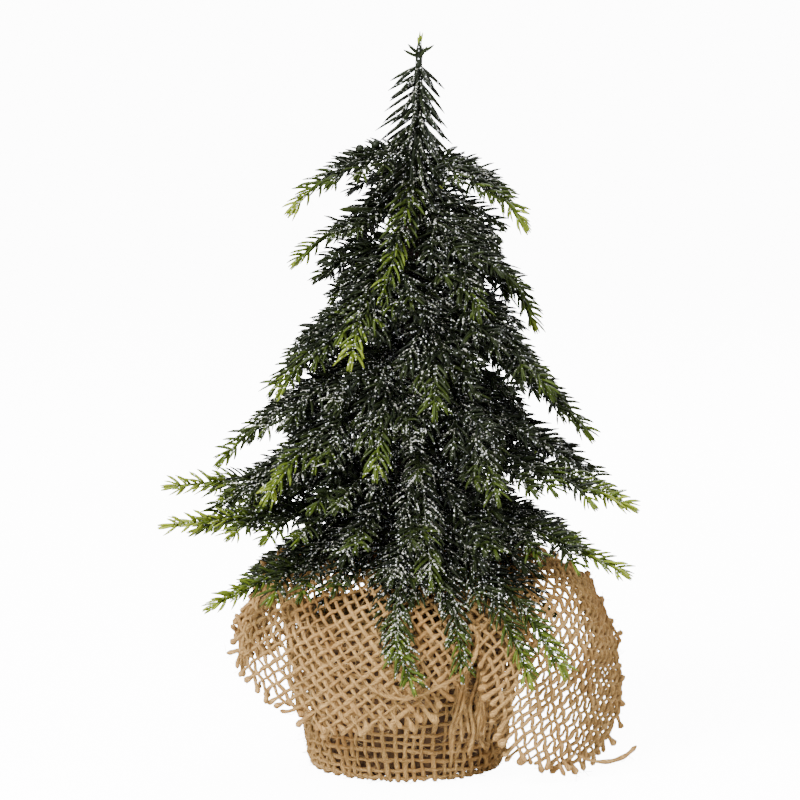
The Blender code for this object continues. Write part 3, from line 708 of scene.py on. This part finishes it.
def addYarn(pile, line, normals, radius, rng, club=0.0):
    # one yarn as a closed tube with slubs; fibreCoords turn round it as its plies do
    sides = 6
    lengths = np.concatenate([[0], np.cumsum(np.linalg.norm(np.diff(line, axis=0), axis=1))])
    start = rng.uniform(0, 50)
    slub = 1 + 0.14 * np.sin(lengths / (2.3 * mm) + start) + 0.11 * np.sin(lengths / (0.83 * mm) + 2 * start)
    radii = radius * slub
    if club:
        radii = radii * np.interp(lengths / lengths[-1], [0, 0.35, 0.8, 0.95, 1],
                                  [1, 1, 1 + club, 1 + 0.8 * club, 0.5])
    points, faces = tubes(line[None], radii[None], normals[None], sides)
    points[:, 2] = np.maximum(points[:, 2], 0.0)    # what lies on the table is pressed flat
    angle = np.arange(sides) * math.tau / sides
    twist = angle[None, :] + (lengths / (1.1 * mm))[:, None]
    coords = np.stack([np.cos(twist), np.sin(twist),
                       np.tile((lengths / (7.0 * mm) + start)[:, None], (1, sides))], -1).reshape(-1, 3)
    addPart(pile, points, faces, {"fibreCoords": coords})


def wallFold(azimuth, height):
    total = 0.0
    foot = clothShape["wallFootHeight"]
    share = np.clip((height - foot) / (clothShape["rim"] - foot), 0, 1)
    for centre, width, size, start in wallFolds:
        away = (azimuth - centre + 180) % 360 - 180
        crest = size * np.exp(-(away / width) ** 2)
        total = total + crest * np.clip((share - start) / (1 - start), 0, 1) ** 0.7
    return total


def bodyPath():
    # (radius, height) from the middle of the bottom to the top of the neck, at even distances
    shape = clothShape
    rough = np.array([
        (0.0, 0.7 * mm), (shape["wallFoot"] - 0.9 * mm, 0.7 * mm), (shape["wallFoot"], 1.9 * mm),
        (shape["wallTop"], shape["rim"]), (shape["shoulder"], shape["shoulderHeight"]),
        (shape["neck"], shape["neckFoot"]), (shape["neck"], shape["neckTop"]),
    ])
    return evenly(rough, 0.5 * mm, 2)


def evenly(rough, step, rounds):
    lengths = np.concatenate([[0], np.cumsum(np.linalg.norm(np.diff(rough, axis=0), axis=1))])
    at = np.arange(0, lengths[-1] + step / 2, step)
    path = np.stack([np.interp(at, lengths, rough[:, k]) for k in range(rough.shape[1])], 1)
    for _ in range(rounds):
        path[1:-1] = 0.25 * path[:-2] + 0.5 * path[1:-1] + 0.25 * path[2:]
    return path


body = bodyPath()
bodyStep = 0.5 * mm


def onBody(azimuth, distance):
    # surface point and normal for azimuths (degrees) and distances along the body's path
    k = np.clip(distance / bodyStep, 0, len(body) - 1.001)
    low = k.astype(int)
    rest = (k - low)[:, None]
    here = body[low] * (1 - rest) + body[low + 1] * rest
    along = unit(body[np.minimum(low + 2, len(body) - 1)] - body[np.maximum(low - 1, 0)])
    turn = np.radians(azimuth)
    out = np.stack([np.cos(turn), np.sin(turn), np.zeros_like(turn)], 1)
    normal = along[:, 1:2] * out + np.stack([0 * turn, 0 * turn, -along[:, 0]], 1)
    point = here[:, :1] * out + np.stack([0 * turn, 0 * turn, here[:, 1]], 1)
    lift = wallFold(azimuth, here[:, 1]) * np.clip(along[:, 1], 0, 1)
    return point + lift[:, None] * normal, normal, here


def makeBody():
    shape = clothShape
    rng = np.random.default_rng(31)
    bottomEnd = shape["wallFoot"] - 1.0 * mm
    total = (len(body) - 1) * bodyStep
    count = shape["bodyYarns"]
    quarter = shape["pitch"] / 4
    for k in range(count):
        distance = np.arange(bottomEnd - 2 * mm, total - 0.2 * mm, quarter)
        drift = 2.3 * smoothNoise(distance * 1000, k * 5.0, 3, 12.0)
        azimuth = 360.0 * k / count + rng.normal(0, 0.8) + drift
        point, normal, here = onBody(azimuth, distance)
        wave = shape["wave"] * np.cos(math.pi * (distance / shape["pitch"] + k))
        wave = wave * np.clip(here[:, 0] / (20 * mm), 0.3, 1)
        lift = 0.30 * mm if k % 9 == 4 else 0.0
        addYarn(yarnPile, point + (wave + lift)[:, None] * normal, normal,
                shape["yarn"] * rng.uniform(0.8, 1.3), rng)
    for j in range(int(bottomEnd / shape["pitch"]) + 1, int(total / shape["pitch"])):
        distance = np.full(count * 4, j * shape["pitch"])
        azimuth = np.arange(count * 4) * 360.0 / (count * 4)
        turn = np.radians(azimuth)
        ripple = smoothNoise(np.cos(turn) * 9 + j * 2.0, np.sin(turn) * 9, 5, 3.0)
        distance = distance + 0.75 * mm * ripple + rng.normal(0, 0.2 * mm)
        here = onBody(azimuth, distance)[2]
        if here[:, 0].min() < 12 * mm:
            continue
        point, normal, here = onBody(azimuth, distance)
        wave = -shape["wave"] * np.cos(math.pi * (azimuth * count / 360.0 + j))
        line = point + wave[:, None] * normal
        line = np.concatenate([line, line[:2]])
        normal = np.concatenate([normal, normal[:2]])
        addYarn(yarnPile, line, normal, shape["yarn"] * rng.uniform(0.75, 1.25), rng)
    for family in (0, 1):
        for k in range(-9, 10):
            place = k * shape["pitch"]
            if abs(place) > bottomEnd - 2 * mm:
                continue
            half = math.sqrt((bottomEnd - 0.3 * mm) ** 2 - place ** 2)
            s = np.arange(-half, half, quarter)
            wave = 0.28 * mm * np.cos(math.pi * (s / shape["pitch"] + k)) * (1 if family else -1)
            flat = np.stack([s, np.full_like(s, place), 0.69 * mm + wave], 1)
            line = flat if family == 0 else np.stack([-flat[:, 1], flat[:, 0], flat[:, 2]], 1)
            line[:, 2] = np.maximum(line[:, 2], 0.45 * mm)
            addYarn(yarnPile, line, np.tile([0.0, 0.0, 1.0], (len(s), 1)), 0.36 * mm, rng)


def flapPath(flap, across):
    # (radius, height) from the top of the neck down to this flap's hem; across goes from -1 to 1
    shape = clothShape
    hem = shape["hem"] + flap[2] + flap[3] * across
    lowest = flap[4] + (flap[8] if across < 0 else flap[9]) * abs(across) ** 1.1
    lift = flap[6] + (flap[7] - flap[6]) * 0.5 * (1 + across)
    return np.array([
        (shape["neck"], shape["neckTop"]),
        (shape["neck"] + 0.7 * lift, shape["neckTop"] + 0.7 * lift),
        (0.5 * (shape["neck"] + hem), shape["neckTop"] + lift),
        (0.84 * hem, shape["neckFoot"] + 0.9 * (lift - 3 * mm)),
        (0.98 * hem, shape["neckFoot"] - 0.35 * (shape["neckFoot"] - lowest)),
        (hem, lowest),
    ])


def flapTables(flap):
    # paths for a row of across values, sampled evenly, and each one's whole length and edge
    rows = []
    acrosses = np.linspace(-1, 1, 21)
    for across in acrosses:
        rough = flapPath(flap, across)
        whole = np.linalg.norm(np.diff(rough, axis=0), axis=1).sum()
        path = evenly(rough, whole / 100, 6)[:100]
        share = min(1.0, 1.5 * (1.0 - abs(across)) ** 0.4)
        rows.append((path, whole, clothShape["ruffle"] + share * (whole - clothShape["ruffle"])))
    paths = np.stack([r[0] for r in rows])
    return acrosses, paths, np.array([r[1] for r in rows]), np.array([r[2] for r in rows])


def makeFlap(flap, number):
    shape = clothShape
    rng = np.random.default_rng(60 + number)
    acrosses, paths, wholes, edges = flapTables(flap)
    middle = paths[10]
    whole = wholes[10]
    hemRadius = middle[-1, 0]

    def widthAt(p):
        # the radius that a sideways distance is counted at: gathered near the neck, true at the hem
        radius = np.interp(p, np.linspace(0, whole, 100), middle[:, 0])
        return 0.72 * radius + 0.28 * hemRadius

    def toAcross(p, q):
        return np.degrees(q / widthAt(p)) / flap[1]

    def onFlap(p, q):
        across = np.clip(toAcross(p, q), -1, 1)
        row = (across + 1) * 10
        low = np.clip(row.astype(int), 0, 19)
        rest = (row - low)[:, None]
        share = np.clip(p / np.interp(across, acrosses, wholes), 0, 0.9999) * 99
        k = np.clip(share.astype(int), 0, 98)
        f = (share - k)[:, None]
        here = ((paths[low, k] * (1 - f) + paths[low, k + 1] * f) * (1 - rest)
                + (paths[low + 1, k] * (1 - f) + paths[low + 1, k + 1] * f) * rest)
        along = unit(paths[low, np.minimum(k + 2, 99)] - paths[low, np.maximum(k - 1, 0)])
        turn = np.radians(flap[0] + np.degrees(q / widthAt(p)))
        out = np.stack([np.cos(turn), np.sin(turn), 0 * turn], 1)
        normal = -along[:, 1:2] * out + np.stack([0 * turn, 0 * turn, along[:, 0]], 1)
        ripple = smoothNoise(p * 1000, q * 1000, 20 + number, 9.0) * 1.5 * mm * np.clip(p / whole, 0, 1)
        point = here[:, :1] * out + np.stack([0 * turn, 0 * turn, here[:, 1]], 1)
        beyond = np.clip(p - np.interp(across, acrosses, wholes), 0, None)
        onward = along[:, :1] * out + np.stack([0 * turn, 0 * turn, along[:, 1]], 1)
        point = point + beyond[:, None] * onward
        return point + ripple[:, None] * normal, normal

    def isInside(p, q):
        across = toAcross(p, q)
        edge = np.interp(across, acrosses, edges)
        return (p > 0.8 * mm) & (np.abs(across) < 1) & (p < edge)

    pitch = flap[10]
    quarter = pitch / 4
    reach = 75 * mm
    for family in (0, 1):
        heading = math.radians(flap[5] + 90 * family)
        u = np.array([math.cos(heading), math.sin(heading)])
        v = np.array([-u[1], u[0]])
        for k in range(-29, 30):
            s = np.arange(-reach, reach, quarter)
            drift = rng.normal(0, 0.08 * pitch)
            p = k * pitch * v[0] + drift * v[0] + s * u[0] + 0.5 * whole
            q = k * pitch * v[1] + drift * v[1] + s * u[1]
            p = p + 0.7 * mm * smoothNoise(p * 1000, q * 1000, 40 + number, 11.0)
            q = q + 0.7 * mm * smoothNoise(p * 1000, q * 1000, 50 + number, 11.0)
            inside = isInside(p, q)
            ends = np.flatnonzero(np.diff(np.concatenate([[0], inside.astype(int), [0]])))
            for a, b in zip(ends[::2], ends[1::2]):
                if b - a < 6:
                    continue
                point, normal = onFlap(p[a:b], q[a:b])
                wave = shape["wave"] * np.cos(math.pi * (s[a:b] / pitch + k)) * (-1 if family else 1)
                line = point + wave[:, None] * normal
                radius = shape["yarn"] * rng.uniform(0.74, 1.14)
                addYarn(yarnPile, line, normal, radius, rng)
                for end, inner, atNeck in ((0, 1, p[a] < 3 * mm), (-1, -2, p[b - 1] < 3 * mm)):
                    if not atNeck:
                        addFringe(line[end], unit(line[end] - line[inner]), normal[end], radius, rng)
    print("flap", number, "woven")


def addFringe(start, heading, normal, radius, rng):
    # a cut end that stands past the edge, thickened where its plies open
    length = rng.uniform(2.8, 6.0) * mm
    s = np.linspace(0, 1, 8)
    bend = rng.normal(0, 0.30, 3) + np.array([0, 0, -0.15])
    step = unit(heading[None, :] + bend[None, :] * s[:, None]) * length / 7
    line = start + np.concatenate([np.zeros((1, 3)), np.cumsum(step[1:], axis=0)])
    line[:, 2] = np.maximum(line[:, 2], 0.8 * mm)
    addYarn(fringePile, line - heading * 0.3 * mm, np.tile(normal + 0.01, (8, 1)), radius * 1.02, rng,
            club=rng.uniform(0.4, 1.0))


def addLooseYarn(pile, knots, radius, rng, club):
    # a pulled yarn that hangs free, on a smooth line through its knots
    knots = np.array(knots) * mm
    t = np.linspace(0, len(knots) - 1, len(knots) * 14)
    k = np.clip(t.astype(int), 0, len(knots) - 2)
    f = (t - k)[:, None]
    before, a, b, after = (knots[np.clip(k + d, 0, len(knots) - 1)] for d in (-1, 0, 1, 2))
    line = 0.5 * (2 * a + (b - before) * f + (2 * before - 5 * a + 4 * b - after) * f ** 2
                  + (3 * a - before - 3 * b + after) * f ** 3)
    addYarn(pile, line, np.tile([0.05, -1.0, 0.1], (len(line), 1)), radius, rng, club=club)


makeBody()
for number, flap in enumerate(flaps):
    makeFlap(flap, number)
looseRng = np.random.default_rng(90)
addLooseYarn(fringePile, [(-10, -41, 29.7), (-5.6, -41.5, 27.1), (0.3, -41.2, 26.2), (7.2, -39.6, 28.4),
                          (12.5, -37.6, 30.9), (17.3, -34.5, 34.7), (19, -33.5, 39.4)],
             0.5 * mm, looseRng, 0.1)
addLooseYarn(fringePile, [(43, -20, 9), (48, -20, 5.5), (54, -18, 4.2), (59, -15, 5.0), (62.5, -13, 7.5)],
             0.42 * mm, looseRng, 0.8)


def addTassel(azimuth, spread, top, bottom, count):
    # frayed warp that hangs down the wall in a soft bunch
    for k in range(count):
        turn = math.radians(azimuth + looseRng.uniform(-spread, spread))
        knots = []
        low = looseRng.uniform(bottom, bottom + 9)
        for height in np.linspace(looseRng.uniform(top - 3, top), low, 5):
            radius = 27.2 + height * 0.16 + looseRng.uniform(3.2, 5.2)
            turn += looseRng.normal(0, 0.03)
            knots.append((radius * math.cos(turn), radius * math.sin(turn), height))
        addLooseYarn(fringePile, knots, looseRng.uniform(0.26, 0.5) * mm, looseRng, 0.2)


addTassel(-58, 8, 36, 8, 16)
addTassel(-150, 9, 38, 18, 9)

burlapWeave = meshFromPile("burlap_weave", yarnPile, jute)
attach(burlapWeave, "tree")
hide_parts("burlap_wrap")
burlapFringe = meshFromPile("burlap_fringe", fringePile, jute)
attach(burlapFringe, "tree")


# ---- loose fibres that stand off the yarns

fuzzShape = {"count": 9500, "length": 2.6 * mm, "radius": 0.045 * mm}


def makeFuzz():
    shape = fuzzShape
    rng = np.random.default_rng(12)
    body = np.concatenate(yarnPile["points"] + fringePile["points"])
    foot = body[rng.integers(0, len(body), shape["count"])]
    rings = 4
    heading = unit(rng.normal(0, 1, (shape["count"], 3)) + unit(foot * np.array([1, 1, 0])) * 0.9)
    curl = rng.normal(0, 0.9, (shape["count"], 3))
    s = np.linspace(0, 1, rings)
    step = unit(heading[:, None, :] + curl[:, None, :] * s[None, :, None])
    step = step * (shape["length"] * rng.uniform(0.4, 1.2, shape["count"]) / (rings - 1))[:, None, None]
    paths = walkFrom(foot, step)
    paths[:, :, 2] = np.maximum(paths[:, :, 2], 0.1 * mm)
    radii = shape["radius"] * np.ones((shape["count"], rings))
    ups = np.tile([0.3, 0.2, 1.0], (shape["count"], rings, 1))
    points, faces = tubes(paths, radii, ups, 3)
    pile = newPile()
    addPart(pile, points, faces, {})
    return meshFromPile("burlap_fuzz", pile, juteFuzz)


burlapFuzz = makeFuzz()
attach(burlapFuzz, "tree")
print("burlap made")


# ---- tie

tieShape = {"ring": 10.35 * mm, "height": 48.8 * mm, "ply": 0.42 * mm, "offset": 0.34 * mm, "twists": 22}


def makeTie():
    shape = tieShape
    rng = np.random.default_rng(5)
    pile = newPile()
    turn = np.linspace(0, math.tau, 260)
    for ply in (0, 1):
        phase = turn * shape["twists"] + ply * math.pi
        out = np.stack([np.cos(turn), np.sin(turn), 0 * turn], 1)
        line = out * (shape["ring"] + shape["offset"] * np.cos(phase))[:, None]
        line[:, 2] = shape["height"] + shape["offset"] * np.sin(phase)
        addYarn(pile, line, out, shape["ply"], rng)
    piece = meshFromPile("twine_tie", pile, twine)
    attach(piece, "tree")
    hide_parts("neck_tie")


makeTie()
print("tie made")


# ---- floor, light and camera

studio = {
    "floorRadius": 2.2, "coveRadius": 1.2, "coveHeight": 2.4, "floorColour": (0.86, 0.86, 0.86, 1),
    "worldStrength": 0.75, "keyPower": 42.0, "fillPower": 3.5, "rimPower": 14.0, "floorGlow": 12.0,
    "cameraPlace": (-0.00166, -0.887, 0.19986), "cameraDrop": 6.4, "cameraLens": 147.7,
}


def makeStudio():
    floor, cove = studio["floorRadius"], studio["coveRadius"]
    profile = [(r, 0.0) for r in np.linspace(0.02, floor, 24)]
    profile += [(floor + cove * math.sin(a), cove * (1 - math.cos(a)))
                for a in np.linspace(0.1, math.pi / 2, 14)]
    profile += [(floor + cove, studio["coveHeight"])]
    sides = 96
    turn = np.arange(sides) * math.tau / sides
    points = np.array([[(r * math.cos(a), r * math.sin(a), z) for a in turn] for r, z in profile])
    walls = ringFaces(len(profile), sides)[0]
    pile = newPile()
    addPart(pile, points.reshape(-1, 3), [walls, np.arange(sides)[None, :]], {})
    paper, tree, shader = newMaterial("floorPaper", 0.9)
    shader.inputs["Base Color"].default_value = studio["floorColour"]
    shader.inputs["Emission Color"].default_value = (1, 1, 1, 1)
    glow = addNode(tree, "ShaderNodeLightPath").outputs["Is Camera Ray"]
    tree.links.new(mathNode(tree, "MULTIPLY", glow, studio["floorGlow"]), shader.inputs["Emission Strength"])
    meshFromPile("studio_floor", pile, paper)
    world = bpy.data.worlds.new("studioWorld")
    world.use_nodes = True
    world.node_tree.nodes["Background"].inputs[0].default_value = (1, 1, 1, 1)
    world.node_tree.nodes["Background"].inputs[1].default_value = studio["worldStrength"]
    bpy.context.scene.world = world


def addAreaLight(name, place, target, size, power):
    data = bpy.data.lights.new(name, "AREA")
    data.shape = "DISK"
    data.size = size
    data.energy = power
    lamp = bpy.data.objects.new(name, data)
    bpy.context.scene.collection.objects.link(lamp)
    lamp.location = place
    lamp.rotation_mode = "QUATERNION"
    lamp.rotation_quaternion = (Vector(target) - Vector(place)).to_track_quat("-Z", "Y")


def makeCamera():
    data = bpy.data.cameras.new("camera")
    data.sensor_width = 36.0
    data.lens = studio["cameraLens"]
    camera = bpy.data.objects.new("camera", data)
    bpy.context.scene.collection.objects.link(camera)
    camera.location = studio["cameraPlace"]
    camera.rotation_euler = (math.radians(90 - studio["cameraDrop"]), 0, 0)
    bpy.context.scene.camera = camera


makeStudio()
addAreaLight("key", (-0.55, -0.75, 0.85), (0, 0, 0.10), 0.5, studio["keyPower"])
addAreaLight("fill", (0.9, -0.6, 0.45), (0, 0, 0.10), 0.8, studio["fillPower"])
addAreaLight("rim", (0.3, 0.9, 0.9), (0, 0, 0.12), 0.6, studio["rimPower"])
makeCamera()
print("studio made")
